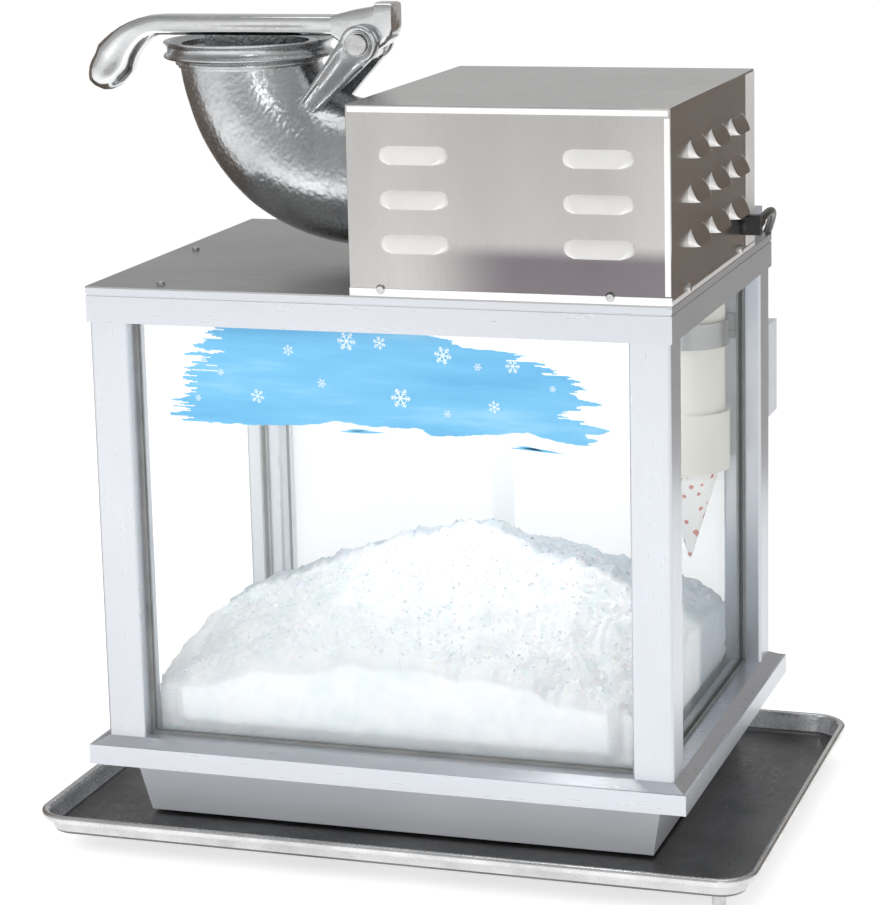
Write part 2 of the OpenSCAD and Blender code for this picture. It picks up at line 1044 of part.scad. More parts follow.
plug_x = 122;
plug_y = coil_y + coil_r + 12;

module plug_body() {
    color("black")
        in_place()
            translate([plug_x, plug_y, floor_z + 13]) {
                x_rod_at(5, -34, 1);
                translate([0, -13, -13])
                    cube([34, 26, 24]);
            }
}

// A short rod along +X about the local origin
module x_rod_at(r, x0, x1) {
    translate([x0, 0, 0])
        rotate([0, 90, 0])
            cylinder(r = r, h = x1 - x0);
}

module plug_blades() {
    color("silver")
        in_place()
            translate([plug_x + 34, plug_y, floor_z + 13]) {
                for (s = [-1, 1])
                    translate([0, s * 6.35 - 0.75, -6])
                        cube([16, 1.5, 6.3]);
                translate([0, 0, 6])
                    x_rod_at(2.4, 0, 20);
            }
}

drip_pan();
pan_drain_tube();
pan_feet();
base_tub();
tub_feet();
drain_grate();
bottom_frame();
post(-1, -1);  // post_front_left
post(1, -1);  // post_front_right
post(-1, 1);  // post_rear_left
post(1, 1);  // post_rear_right
top_frame();
top_plate();
front_glass();
side_glass(-1);  // left_glass
side_glass(1);  // right_glass
glass_gaskets();
front_decal();
lower_door_track();
upper_door_track();
door(left_door_x, lane_out);  // door_left
door(right_door_x - door_w, lane_in);  // door_right
door_pull(left_door_x, lane_out);  // pull_left
door_pull(right_door_x - door_w, lane_in);  // pull_right
ice_heap();
cone_tube();
cone_collar();
cone_bracket();
paper_cones();
motor_housing();
housing_screws();
plate_screws();
motor_shell();
motor_stator();
motor_left_bell();
motor_right_bell();
motor_shaft();
motor_cradle();
capacitor();
shave_head();
blade_disc();
blade_knives();
disc_nut();
elbow_throat();
throat_bolts();
pusher_lever();
pusher_head();
pivot_bolt();
pivot_bushes();
lamp_socket();
lamp_bulb();
switch_box();
rocker(rocker_z1);  // motor_rocker
rocker(rocker_z0);  // lamp_rocker
cord_bracket();
strain_relief();
power_cord();
cord_coil();
plug_body();
plug_blades();
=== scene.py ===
"""Looks for the counter-top shaved ice machine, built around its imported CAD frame."""
import math
import random

import bpy
from mathutils import Matrix, Vector, noise


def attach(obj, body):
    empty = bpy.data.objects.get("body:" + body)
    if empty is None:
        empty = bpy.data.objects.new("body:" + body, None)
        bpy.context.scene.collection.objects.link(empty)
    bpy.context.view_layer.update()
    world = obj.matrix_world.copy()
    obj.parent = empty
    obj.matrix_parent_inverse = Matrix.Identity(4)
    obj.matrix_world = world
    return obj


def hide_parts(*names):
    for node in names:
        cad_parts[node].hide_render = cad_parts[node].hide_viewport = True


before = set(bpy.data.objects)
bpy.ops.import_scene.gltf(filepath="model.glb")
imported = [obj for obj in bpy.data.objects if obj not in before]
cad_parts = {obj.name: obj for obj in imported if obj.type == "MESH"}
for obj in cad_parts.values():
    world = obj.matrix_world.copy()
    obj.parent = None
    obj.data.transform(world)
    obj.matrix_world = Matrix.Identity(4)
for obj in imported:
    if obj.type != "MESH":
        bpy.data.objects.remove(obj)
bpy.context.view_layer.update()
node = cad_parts

# The cabinet's own millimetres, from its middle and the pan's underside, to the row frame
SHIFT = Vector((-0.006, 0.00625, 0.020))


def at(x, y, z):
    return Vector((x, y, z)) * 0.001 + SHIFT


# ---- Camera ----

CAMERA_AT = (0.82773, -2.51184, 0.95348)
YAW, PITCH, ROLL = (math.radians(a) for a in (18.40, -11.75, -1.36))
look = Vector((-math.sin(YAW) * math.cos(PITCH), math.cos(YAW) * math.cos(PITCH), math.sin(PITCH)))
right = look.cross(Vector((0, 0, 1))).normalized()
up = right.cross(look)
right, up = math.cos(ROLL) * right + math.sin(ROLL) * up, math.cos(ROLL) * up - math.sin(ROLL) * right

camera_data = bpy.data.cameras.new("camera")
camera_data.lens = 117.3
camera_data.sensor_width = 36
camera_data.shift_y = -0.0801
camera_data.clip_start = 0.05
camera = bpy.data.objects.new("camera", camera_data)
bpy.context.scene.collection.objects.link(camera)
turn = Matrix((right, up, -look)).transposed().to_4x4()
camera.matrix_world = Matrix.Translation(CAMERA_AT) @ turn
bpy.context.scene.camera = camera
bpy.context.scene.view_settings.view_transform = "Standard"


# ---- Materials ----

def ramp(tree, source, stops):
    """A colour ramp fed by source; stops is [(place, colour)]."""
    n = tree.nodes.new("ShaderNodeValToRGB")
    for i, (place, colour) in enumerate(stops):
        e = n.color_ramp.elements[i] if i < 2 else n.color_ramp.elements.new(place)
        e.position = place
        e.color = (*colour, 1)
    tree.links.new(source, n.inputs["Fac"])
    return n.outputs["Color"]


def spread(tree, source, low, high):
    """source, from about 0.3 to 0.7, taken to low..high."""
    n = tree.nodes.new("ShaderNodeMapRange")
    n.inputs["From Min"].default_value = 0.3
    n.inputs["From Max"].default_value = 0.7
    n.inputs["To Min"].default_value = low
    n.inputs["To Max"].default_value = high
    tree.links.new(source, n.inputs["Value"])
    return n.outputs["Result"]


def place(tree, stretch):
    coords = tree.nodes.new("ShaderNodeTexCoord")
    mapping = tree.nodes.new("ShaderNodeMapping")
    mapping.inputs["Scale"].default_value = stretch
    tree.links.new(coords.outputs["Object"], mapping.inputs["Vector"])
    return mapping.outputs["Vector"]


def grain(tree, scale, stretch=(1, 1, 1), detail=4.0, rough=0.55):
    n = tree.nodes.new("ShaderNodeTexNoise")
    n.inputs["Scale"].default_value = scale
    n.inputs["Detail"].default_value = detail
    n.inputs["Roughness"].default_value = rough
    tree.links.new(place(tree, stretch), n.inputs["Vector"])
    return n.outputs["Fac"]


def pebbles(tree, scale, stretch=(1, 1, 1)):
    n = tree.nodes.new("ShaderNodeTexVoronoi")
    n.feature = "SMOOTH_F1"
    n.inputs["Scale"].default_value = scale
    tree.links.new(place(tree, stretch), n.inputs["Vector"])
    return n.outputs["Distance"]


def bump(tree, shader, source, strength, distance):
    n = tree.nodes.new("ShaderNodeBump")
    n.inputs["Strength"].default_value = strength
    n.inputs["Distance"].default_value = distance
    tree.links.new(source, n.inputs["Height"])
    tree.links.new(n.outputs["Normal"], shader.inputs["Normal"])
    return n


def surface(name, colours, rough, metal=0.0, tone=(6, (1, 1, 1)), fine=(300, (1, 1, 1)),
            relief=(0.1, 0.0003), cells=False, **sockets):
    """A finish whose colour drifts with a broad pattern, and whose roughness and relief
    follow a fine one. colours is [(place, colour)], rough (low, high)."""
    m = bpy.data.materials.new(name)
    m.use_nodes = True
    t = m.node_tree
    s = t.nodes["Principled BSDF"]
    broad = grain(t, *tone)
    t.links.new(ramp(t, broad, colours), s.inputs["Base Color"])
    small = pebbles(t, *fine) if cells else grain(t, *fine)
    t.links.new(spread(t, small, *rough), s.inputs["Roughness"])
    bump(t, s, small, *relief)
    s.inputs["Metallic"].default_value = metal
    for key, value in sockets.items():
        s.inputs[key.replace("_", " ")].default_value = value
    return m


def grey(v, warm=0.0):
    return (v * (1 + warm), v, v * (1 - warm))


frame_alu = surface("frame_aluminium", [(0.3, (0.58, 0.60, 0.64)), (0.7, (0.64, 0.665, 0.71))],
                    (0.27, 0.33), 0.66, (5, (1, 1, 0.3)), (420, (1, 1, 0.05)), (0.015, 0.0001))
rail_alu = surface("rail_aluminium", [(0.3, (0.58, 0.60, 0.64)), (0.7, (0.64, 0.665, 0.71))],
                   (0.27, 0.33), 0.66, (5, (0.3, 1, 1)), (420, (0.05, 1, 1)), (0.015, 0.0001))
tub_alu = surface("tub_aluminium", [(0.3, (0.74, 0.77, 0.82)), (0.7, (0.86, 0.88, 0.92))],
                  (0.30, 0.42), 0.10, (4, (1, 1, 1)), (380, (0.05, 1, 1)), (0.02, 0.0001))
steel_up = surface("housing_steel", [(0.25, grey(0.42, 0.03)), (0.75, grey(0.56, 0.02))],
                   (0.17, 0.26), 1.0, (7, (1, 1, 0.35)), (620, (1, 1, 0.03)), (0.07, 0.0002))
# Painted highlight: a pale, less metallic steel for the lit faces of the louvres and the folded edges, where
# the housing's steel catches bright light
highlight_steel = surface("painted_highlight_steel", [(0.3, grey(0.84, 0.01)), (0.7, grey(0.92, 0.01))],
                     (0.30, 0.42), 0.3, (20, (1, 1, 1)), (500, (0.05, 1, 1)), (0.04, 0.0001))
roof_steel = surface("roof_steel", [(0.25, grey(0.34, 0.0)), (0.75, grey(0.47, 0.0))],
                     (0.26, 0.40), 0.95, (6, (0.4, 1, 1)), (600, (0.03, 1, 1)), (0.10, 0.0002))
# Painted reflection and shade: the pan's floor gets a far darker aluminium than its rim, for the dark machine
# it reflects and the shade it lies in, partly dark patina
pan_alu = surface("pan_aluminium", [(0.3, grey(0.10, 0.0)), (0.7, grey(0.22, 0.0))],
                  (0.26, 0.46), 0.9, (9, (1, 1, 1)), (260, (1, 1, 1)), (0.12, 0.0003))
rim_alu = surface("pan_rim", [(0.3, grey(0.50, 0.0)), (0.7, grey(0.78, 0.0))],
                  (0.2, 0.32), 0.9, (20, (1, 1, 1)), (300, (1, 1, 1)), (0.08, 0.0002))
cast_alu = surface("cast_aluminium", [(0.3, grey(0.44, -0.03)), (0.7, grey(0.60, -0.02))],
                   (0.22, 0.32), 1.0, (30, (1, 1, 1)), (330, (1, 1, 1)), (0.35, 0.0004), True)
lever_alu = surface("polished_aluminium", [(0.3, grey(0.52, -0.01)), (0.7, grey(0.80, -0.01))],
                    (0.10, 0.22), 1.0, (30, (0.3, 1, 1)), (140, (1, 1, 1)), (0.10, 0.0004))
bright = surface("plated_steel", [(0.3, grey(0.45)), (0.7, grey(0.7))], (0.15, 0.3), 1.0,
                 (80, (1, 1, 1)), (500, (1, 1, 1)), (0.05, 0.0002))
dark_metal = surface("motor_paint", [(0.3, grey(0.03)), (0.7, grey(0.07))], (0.35, 0.5), 0.2,
                     (30, (1, 1, 1)), (400, (1, 1, 1)), (0.1, 0.0002))
copper = surface("varnished_copper", [(0.3, (0.35, 0.13, 0.05)), (0.7, (0.65, 0.30, 0.12))],
                 (0.25, 0.4), 0.9, (40, (1, 1, 1)), (900, (0.1, 1, 1)), (0.4, 0.0004))
brass = surface("bush_bronze", [(0.3, (0.42, 0.28, 0.10)), (0.7, (0.62, 0.45, 0.20))],
                (0.25, 0.4), 1.0, (60, (1, 1, 1)), (500, (1, 1, 1)), (0.1, 0.0002))
rubber = surface("black_rubber", [(0.3, grey(0.012)), (0.7, grey(0.03))], (0.45, 0.62), 0.0,
                 (50, (1, 1, 1)), (700, (1, 1, 1)), (0.15, 0.0002))
black = surface("black_plastic", [(0.3, grey(0.010)), (0.7, grey(0.022))], (0.28, 0.42), 0.0,
                (40, (1, 1, 1)), (900, (1, 1, 1)), (0.08, 0.0002))
gasket = surface("gasket_rubber", [(0.3, grey(0.22)), (0.7, grey(0.32))], (0.5, 0.65), 0.0,
                 (30, (1, 1, 1)), (500, (1, 1, 1)), (0.1, 0.0002))
cream = surface("cream_plastic", [(0.3, (0.74, 0.72, 0.65)), (0.7, (0.82, 0.80, 0.74))],
                (0.35, 0.5), 0.0, (10, (1, 1, 0.3)), (500, (1, 1, 1)), (0.05, 0.0002))
glass = surface("clear_glass", [(0.3, (0.86, 0.93, 0.93)), (0.7, (0.92, 0.97, 0.97))],
                (0.02, 0.05), 0.0, (3, (1, 1, 1)), (30, (1, 1, 1)), (0.01, 0.0002),
                Alpha=0.10, Specular_IOR_Level=0.6)
door = surface("clear_acrylic", [(0.3, (0.88, 0.92, 0.95)), (0.7, (0.95, 0.97, 0.99))],
               (0.05, 0.12), 0.0, (3, (1, 1, 1)), (60, (1, 1, 1)), (0.02, 0.0002), Alpha=0.30)
bulb = surface("frosted_bulb", [(0.3, (0.95, 0.92, 0.85)), (0.7, (1.0, 0.98, 0.93))],
               (0.2, 0.4), 0.0, (20, (1, 1, 1)), (200, (1, 1, 1)), (0.05, 0.0002),
               Emission_Color=(1.0, 0.95, 0.86, 1), Emission_Strength=3.0)
snow = surface("shaved_ice", [(0.25, (0.80, 0.86, 0.92)), (0.6, (0.95, 0.97, 1.0))],
               (0.35, 0.7), 0.0, (45, (1, 1, 1)), (520, (1, 1, 1)), (0.7, 0.0016),
               Subsurface_Weight=0.25, Subsurface_Scale=0.012, Specular_IOR_Level=0.3)
film = surface("blue_film", [(0.2, (0.09, 0.38, 0.68)), (0.5, (0.16, 0.50, 0.79)),
                             (0.8, (0.40, 0.70, 0.88))],
               (0.3, 0.45), 0.0, (26, (0.22, 1, 1.6)), (500, (0.2, 1, 1)), (0.03, 0.0001))
flake_white = surface("white_film", [(0.3, (0.62, 0.80, 0.92)), (0.7, (0.85, 0.93, 0.98))],
                      (0.35, 0.5), 0.0, (60, (1, 1, 1)), (500, (1, 1, 1)), (0.03, 0.0001))


def axis_mask(tree, source, axis, low, high):
    """0 to 1 as the object's own X, Y or Z goes from low to high, in metres, times source."""
    coords = tree.nodes.new("ShaderNodeTexCoord")
    split = tree.nodes.new("ShaderNodeSeparateXYZ")
    tree.links.new(coords.outputs["Object"], split.inputs["Vector"])
    n = tree.nodes.new("ShaderNodeMapRange")
    n.interpolation_type = "SMOOTHSTEP"
    n.inputs["From Min"].default_value = low
    n.inputs["From Max"].default_value = high
    tree.links.new(split.outputs[axis], n.inputs["Value"])
    if source is None:
        return n.outputs["Result"]
    m = tree.nodes.new("ShaderNodeMath")
    m.operation = "MULTIPLY"
    tree.links.new(source, m.inputs[0])
    tree.links.new(n.outputs["Result"], m.inputs[1])
    return m.outputs["Value"]


def tint(material, mask, colour):
    """Multiplies the finish's colour by colour where mask is 1."""
    tree = material.node_tree
    base = tree.nodes["Principled BSDF"].inputs["Base Color"]
    n = tree.nodes.new("ShaderNodeMix")
    n.data_type = "RGBA"
    n.blend_type = "MULTIPLY"
    tree.links.new(base.links[0].from_socket, n.inputs[6])
    n.inputs[7].default_value = (*colour, 1)
    tree.links.new(mask, n.inputs[0])
    tree.links.new(n.outputs[2], base)


# Greyer ice from the crest to the back: painted shade behind the crest, partly clearer ice
tint(snow, axis_mask(snow.node_tree, None, "Y", 0.022, 0.044), (0.50, 0.55, 0.60))
# A painted dark reflection along the foot of the housing's front
painted_reflection_band = None
for axis, low, high in (("Z", 0.566, 0.548), ("X", 0.02, 0.13), ("Y", -0.188, -0.190)):
    painted_reflection_band = axis_mask(steel_up.node_tree, painted_reflection_band, axis, low, high)
tint(steel_up, painted_reflection_band, (0.38, 0.35, 0.39))


# ---- Mesh making ----

def piece(name, verts, faces, material, body="cabinet", sharp=35):
    mesh = bpy.data.meshes.new(name)
    mesh.from_pydata([tuple(v) for v in verts], [], faces)
    mesh.validate()
    mesh.update()
    mesh.shade_smooth()
    mesh.set_sharp_from_angle(angle=math.radians(sharp))
    mesh.materials.append(material)
    obj = bpy.data.objects.new(name, mesh)
    bpy.context.scene.collection.objects.link(obj)
    if body:
        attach(obj, body)
    return obj


def loft(rings, around=True, caps=(True, True), loop=False):
    """Faces joining rings of equal count; loop joins the last ring to the first."""
    n = len(rings[0])
    verts = [v for r in rings for v in r]
    faces = []
    count = len(rings)
    for i in range(count if loop else count - 1):
        a, b = i * n, ((i + 1) % count) * n
        for j in range(n if around else n - 1):
            k = (j + 1) % n
            faces.append((a + j, a + k, b + k, b + j))
    if not loop:
        if caps[0]:
            faces.append(tuple(range(n))[::-1])
        if caps[1]:
            faces.append(tuple(range((count - 1) * n, count * n)))
    return verts, faces


def join(parts):
    """One (verts, faces) from several."""
    verts, faces = [], []
    for v, f in parts:
        base = len(verts)
        verts += list(v)
        faces += [tuple(i + base for i in q) for q in f]
    return verts, faces


def turned(profile, centre, axis="Z", steps=48):
    """A profile of (radius, height) turned about an axis through centre, closed on itself."""
    rings = []
    for r, h in profile:
        ring = []
        for k in range(steps):
            a = 2 * math.pi * k / steps
            c, s = r * math.cos(a), r * math.sin(a)
            d = {"Z": (c, s, h), "Y": (s, h, c), "X": (h, c, s)}[axis]
            ring.append(at(*(centre[i] + d[i] for i in range(3))))
        rings.append(ring)
    return rings


def rounded(obj, width=0.0008, segments=2):
    m = obj.modifiers.new("edge", "BEVEL")
    m.width = width
    m.segments = segments
    m.limit_method = "ANGLE"
    m.angle_limit = math.radians(40)
    return obj


def curve_points(points, steps):
    """A smooth line through points."""
    out = []
    for i in range(len(points) - 1):
        p = [points[max(0, min(len(points) - 1, i + k))] for k in (-1, 0, 1, 2)]
        for s in range(steps):
            t = s / steps
            out.append(0.5 * ((2 * p[1]) + (p[2] - p[0]) * t + (2 * p[0] - 5 * p[1] + 4 * p[2] - p[3]) * t * t
                              + (3 * p[1] - p[0] - 3 * p[2] + p[3]) * t ** 3))
    out.append(points[-1])
    return out


# ---- Mains cord, its coil and its plug ----

ROUTE = [(274, 98, 522), (274, 118, 523), (273, 142, 523), (271, 166, 520), (266, 190, 511),
         (258, 211, 496), (247, 227, 475), (234, 237, 450), (223, 242, 420), (215, 244, 386),
         (212, 244, 345), (212, 244, 300), (212, 244, 250), (212, 244, 200), (212, 244, 150),
         (210, 244, 110), (203, 245, 74), (190, 246, 42), (171, 246, 15), (148, 245, -5),
         (122, 244, -14), (100, 244, -16)]
COIL = (90, 294)
PLUG_Y = 352


def between(t, a, b, low, high):
    k = max(0.0, min(1.0, (t - a) / (b - a)))
    return low + (high - low) * k * k * (3 - 2 * k)


def coil_point(t):
    """A point t turns into the coil, which starts in front and winds clockwise."""
    r = between(t, 0.72, 0.95, 50, 42)
    r = r if t < 2.0 else between(t, 2.36, 2.58, 42, 50)
    r = r if t < 3.2 else between(t, 3.2, 3.5, 50, 58)
    z = between(t, 1.6, 1.9, -16, -7.9)
    a = -math.pi / 2 - 2 * math.pi * t
    return Vector((COIL[0] + r * math.cos(a), COIL[1] + r * math.sin(a), z))


line = curve_points([Vector(p) for p in ROUTE], 3)
line += [coil_point(k / 40) for k in range(1, 141)] + [Vector((100, PLUG_Y, -7.5))]
line = [at(*p) for p in line]
cord_curve = bpy.data.curves.new("mains_cord", "CURVE")
cord_curve.dimensions = "3D"
cord_curve.bevel_depth = 0.004
cord_curve.bevel_resolution = 4
cord_curve.use_fill_caps = True
spline = cord_curve.splines.new("POLY")
spline.points.add(len(line) - 1)
for p, v in zip(spline.points, line):
    p.co = (*v, 1)
cord_curve.materials.append(black)
cord = bpy.data.objects.new("mains_cord", cord_curve)
bpy.context.scene.collection.objects.link(cord)
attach(cord, "cabinet")
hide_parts("power_cord", "cord_coil")


def box_ring(x, y, z, hy, hz, power=4.0, steps=32):
    ring = []
    for k in range(steps):
        a = 2 * math.pi * k / steps
        c, s = math.cos(a), math.sin(a)
        ring.append(at(x, y + hy * math.copysign(abs(c) ** (2 / power), c),
                       z + hz * math.copysign(abs(s) ** (2 / power), s)))
    return ring


plug_rings = [box_ring(x, PLUG_Y, z, hy, hz, p) for x, z, hy, hz, p in [
    (90, -7.2, 4.6, 4.6, 2), (92, -7.2, 5.2, 5.2, 2), (97, -7.2, 5.4, 5.4, 2), (98, -7.2, 4.7, 4.7, 2),
    (101, -7.2, 4.7, 4.7, 2), (102, -7.2, 5.7, 5.7, 2), (106, -7.2, 5.8, 5.8, 2), (107, -7.2, 5.0, 5.0, 2),
    (110, -7.2, 5.0, 5.0, 2), (111, -7.2, 6.2, 6.2, 2), (118, -7.4, 7.5, 7.2, 2.4), (124, -8, 10.5, 10.0, 3),
    (130, -8, 12.6, 11.6, 4), (134, -8, 12.4, 11.2, 4), (137, -8, 11.6, 10.4, 4), (141, -8, 11.6, 10.4, 4),
    (144, -8, 12.6, 11.6, 4), (155, -8, 12.8, 11.8, 5), (156, -8, 12.2, 11.2, 5)]]
plug = piece("plug_moulding", *loft(plug_rings), black)
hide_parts("plug_body")


# ---- Elbow casting: throat, hopper rim and the two ears ----

HEAD_Y = -30
PIVOT = (-55, 694)
SWEEP_R, TUBE_R, BORE_R = 117, 66, 58


def lumps(v, size):
    return noise.noise(v / size)


MOUTH_SLIM = 2.6
RIM_TOP = 697
RIM_X = PIVOT[0] - SWEEP_R + 3.4


def elbow_ring(angle, along, r, steps, rough=0.0):
    """A ring of the throat: angle round the pivot, or a distance along the straight. The
    outer wall is slimmer near the mouth."""
    ring = []
    a = math.radians(angle)
    for k in range(steps):
        f = 2 * math.pi * k / steps
        flank = max(0.0, -math.sin(f))
        slim = MOUTH_SLIM * max(0.0, min(1.0, (52 - angle) / 34)) if r > BORE_R + 2 else 0.0
        d = SWEEP_R - slim + (r - slim) * math.cos(f)
        y = HEAD_Y + (r - slim) * math.sin(f)
        p = Vector((PIVOT[0] - d * math.cos(a) + along, y, PIVOT[1] - d * math.sin(a)))
        if rough:
            mask = min(1.0, max(0.0, (flank - 0.35) * 3.0)) * min(1.0, max(0.0, (angle - 6) / 12))
            push = 0.10 * lumps(p, 20) + rough * mask * (lumps(p, 2.3) + 0.5 * lumps(p, 1.3))
            c = Vector((PIVOT[0] - SWEEP_R * math.cos(a) + along, HEAD_Y, PIVOT[1] - SWEEP_R * math.sin(a)))
            p += (p - c).normalized() * (push - 0.2)
        ring.append(at(*p))
    return ring


AROUND = 220
outer = [elbow_ring(90 * i / 120, 0, TUBE_R, AROUND, 0.42) for i in range(121)]
outer += [elbow_ring(90, s, TUBE_R, AROUND, 0.30) for s in range(3, 43, 3)]
outer += [elbow_ring(90, 43, TUBE_R + 1, AROUND), elbow_ring(90, 43.2, 75, AROUND),
          elbow_ring(90, 44, 76, AROUND), elbow_ring(90, 52.5, 76, AROUND), elbow_ring(90, 53, 75, AROUND)]
inner = [elbow_ring(90, 53, BORE_R, AROUND), elbow_ring(90, 0, BORE_R, AROUND)]
inner += [elbow_ring(90 - 6 * i, 0, BORE_R, AROUND) for i in range(1, 16)]
rim = [(64.4, -24), (64.8, -22), (66.6, -21.4), (67.2, -19.8), (66.4, -18.2), (67.5, -17.2),
       (73.0, -16.6), (76.2, -15.8), (77.4, -14.6), (77.5, -13.2), (76.6, -12.0), (74.8, -11.0), (74.0, -8.8),
       (74.1, -6.2), (75.0, -4.0), (76.6, -2.8), (77.5, -1.8), (77.4, -0.8), (76.4, -0.2), (74.6, -0.2),
       (73.2, -0.9), (70.0, -2.6), (64.0, -5.6), (60.6, -8.4), (59.2, -12.0), (58.4, -16), (58.4, -24)]
rim_rings = turned([(r, h + RIM_TOP) for r, h in rim], (RIM_X, HEAD_Y, 0), steps=160)
elbow = piece("elbow_casting", *join([loft(outer + inner, loop=True), loft(rim_rings, loop=True)]),
              cast_alu, sharp=50)
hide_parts("elbow_throat")


def ear(side):
    """An ear: an eye round the pivot bolt, and a ribbed leg that flares down the flank."""
    head = Vector((PIVOT[0], 0, PIVOT[1]))
    foot = Vector((-105, 0, 631))
    run = foot - head
    down = run.normalized()
    across = Vector((-down.z, 0, down.x))
    parts = []
    rings = []
    for i in range(41):
        t = i / 40
        half = 16.8 - 9.6 * t - (5.2 * max(0.0, t - 0.88) / 0.12)
        out = 25 + 25.5 * t ** 1.35
        mid = head + run * t
        rib = min(1.0, max(0.0, (t - 0.16) / 0.08)) * min(1.0, (1.0 - t) / 0.2)
        prof = [(-1, -9.6), (-1, -0.8), (-0.94, 0.9 + 1.1 * rib), (-0.78, 1.3 + 1.3 * rib),
                (-0.60, 1.1 + 0.9 * rib), (-0.48, 0.6 - 0.9 * rib), (-0.1, 0.5 - 1.4 * rib),
                (0.30, 0.6 - 0.9 * rib), (0.42, 1.1 + 0.7 * rib), (0.62, 1.3 + 1.1 * rib),
                (0.86, 0.9 + 1.1 * rib), (1, -0.8), (1, -9.6)]
        ring = []
        for v, o in prof:
            p = mid + across * v * half
            ring.append(at(p.x, HEAD_Y + side * (out + o - 1.5), p.z))
        rings.append(ring)
    parts.append(loft(rings))
    eye = [(7.6, 15.1), (16.2, 15.1), (17, 15.8), (17, 24.4), (16.2, 25.6), (15.2, 26.0), (13.2, 26.0),
           (12.4, 25.3), (11.6, 25.3), (10.9, 26.2), (8.4, 26.2), (7.6, 25.6)]
    eye = [(r, side * h) for r, h in eye]
    parts.append(loft(turned(eye, (PIVOT[0], HEAD_Y, PIVOT[1]), "Y", 72), loop=True))
    return parts


ears = piece("elbow_ears", *join(ear(-1) + ear(1)), cast_alu, sharp=50)
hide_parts("elbow_throat")


# ---- Pusher lever ----

def section(p, direction, h, w, power=4.0, dish=0.0, groove=0.0, steps=48):
    """A closed section across the lever at p: half height h, half width w."""
    d = Vector((direction[0], 0, direction[1])).normalized()
    rise = Vector((-d.z, 0, d.x))
    if rise.z < 0:
        rise = -rise
    ring = []
    for k in range(steps):
        a = 2 * math.pi * k / steps
        c, s = math.cos(a), math.sin(a)
        y = math.copysign(abs(c) ** (2 / power), c)
        v = math.copysign(abs(s) ** (2 / power), s)
        hollow = dish * math.exp(-(v / 0.42) ** 2) + groove * math.exp(-((v + 0.30) / 0.22) ** 2)
        q = Vector((p[0], 0, p[1])) + rise * v * h
        ring.append(at(q.x, HEAD_Y + y * (w - hollow), q.z))
    return ring


GRIP = [  # x, z, direction x, direction z, half height, half width, power, dish
    (-321.5, 653.0, 0.55, 0.85, 3.5, 4.0, 2.0, 0), (-319.5, 654.0, 0.55, 0.85, 10.0, 8.0, 2.0, 0),
    (-316.0, 657.0, 0.55, 0.84, 13.8, 11.5, 2.1, 0.4), (-311.8, 661.8, 0.54, 0.84, 17.2, 13.6, 2.2, 1.2),
    (-307.6, 667.0, 0.52, 0.85, 18.8, 14.4, 2.3, 2.6), (-303.2, 672.6, 0.54, 0.84, 19.4, 14.5, 2.4, 3.4),
    (-299.6, 678.6, 0.60, 0.80, 20.6, 14.5, 2.5, 3.2), (-295.4, 684.2, 0.66, 0.75, 18.8, 14.5, 2.6, 2.6),
    (-290.4, 690.2, 0.72, 0.69, 16.6, 14.5, 2.8, 1.8), (-284.4, 695.6, 0.79, 0.61, 14.8, 14.5, 3.0, 1.2),
    (-277.8, 700.4, 0.86, 0.51, 13.0, 14.5, 3.2, 0.7), (-270.6, 704.4, 0.93, 0.37, 11.4, 14.5, 3.4, 0.4),
    (-262.0, 707.8, 0.98, 0.18, 9.9, 14.5, 3.8, 0.2)]
rings = [section((x, z), (dx, dz), h, w, p, d) for x, z, dx, dz, h, w, p, d in GRIP]
for x in range(-252, -83, 8):
    rings.append(section((x, 709.2), (1, 0), 9.1, 14.5, 5, 0, 0.9))
LUG = [  # x, z, half height
    (-84, 709, 9.4), (-78, 707.7, 12.3), (-72, 704.75, 16.75), (-66, 701.8, 21.2), (-60, 700.9, 23.1),
    (-54, 701.3, 23.7), (-48, 702.7, 23.3), (-43.6, 705.2, 21.8), (-43.0, 707.6, 22.4), (-40, 709.4, 20.6),
    (-34, 711.4, 18.6), (-29, 714.0, 16.0), (-27, 716.4, 12.6)]
for x, z, h in LUG:
    rings.append(section((x, z), (1, 0), h, 14.5, 7))
lever = piece("lever_casting", *loft(rings), lever_alu, body="pusher", sharp=60)
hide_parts("pusher_lever")


# ---- Motor housing: a folded sheet box with pressed louvres ----

HX0, HX1, HY0, HY1, HZ0, HZ1 = -17, 264, -198, 120, 495, 658
SHEET = 1.5
ROWS = (541, 578.5, 616)
FRONT_X = (43, 203)
SIDE_Y = (-108.5, -31, 46)
GLAND = (74, 522)
SHAFT_Z = 577


def circle_points(centre, r, steps):
    turns = [2 * math.pi * k / steps for k in range(steps)]
    return [(centre[0] + r * math.cos(a), centre[1] + r * math.sin(a)) for a in turns]


def grid_faces(rows, cols):
    """Faces of a grid of points, cols + 1 to a row."""
    n = cols + 1
    corners = [i * n + j for i in range(rows) for j in range(cols)]
    return [(c, c + 1, c + n + 1, c + n) for c in corners]


def box_mesh(lo, hi):
    v = [at(x, y, z) for x in (lo[0], hi[0]) for y in (lo[1], hi[1]) for z in (lo[2], hi[2])]
    f = [(0, 1, 3, 2), (4, 6, 7, 5), (0, 4, 5, 1), (2, 3, 7, 6), (0, 2, 6, 4), (1, 5, 7, 3)]
    return v, f


def obround(length, height, steps=10):
    """Points round a slot with round ends, as (along, up)."""
    r = height / 2
    out = []
    for end in (1, -1):
        for k in range(steps + 1):
            a = -math.pi / 2 + math.pi * k / steps
            out.append((end * (length / 2 - r + r * math.cos(a)), end * r * math.sin(a)))
    return out


def cut(obj, parts):
    """Cuts closed shapes out of obj, for good."""
    tool = piece("cutter", *join(parts), steel_up, body=None)
    m = obj.modifiers.new("cut", "BOOLEAN")
    m.operation = "DIFFERENCE"
    m.solver = "EXACT"
    m.object = tool
    bpy.context.view_layer.update()
    deps = bpy.context.evaluated_depsgraph_get()
    mesh = bpy.data.meshes.new_from_object(obj.evaluated_get(deps))
    obj.modifiers.remove(m)
    obj.data = mesh
    bpy.data.objects.remove(tool)


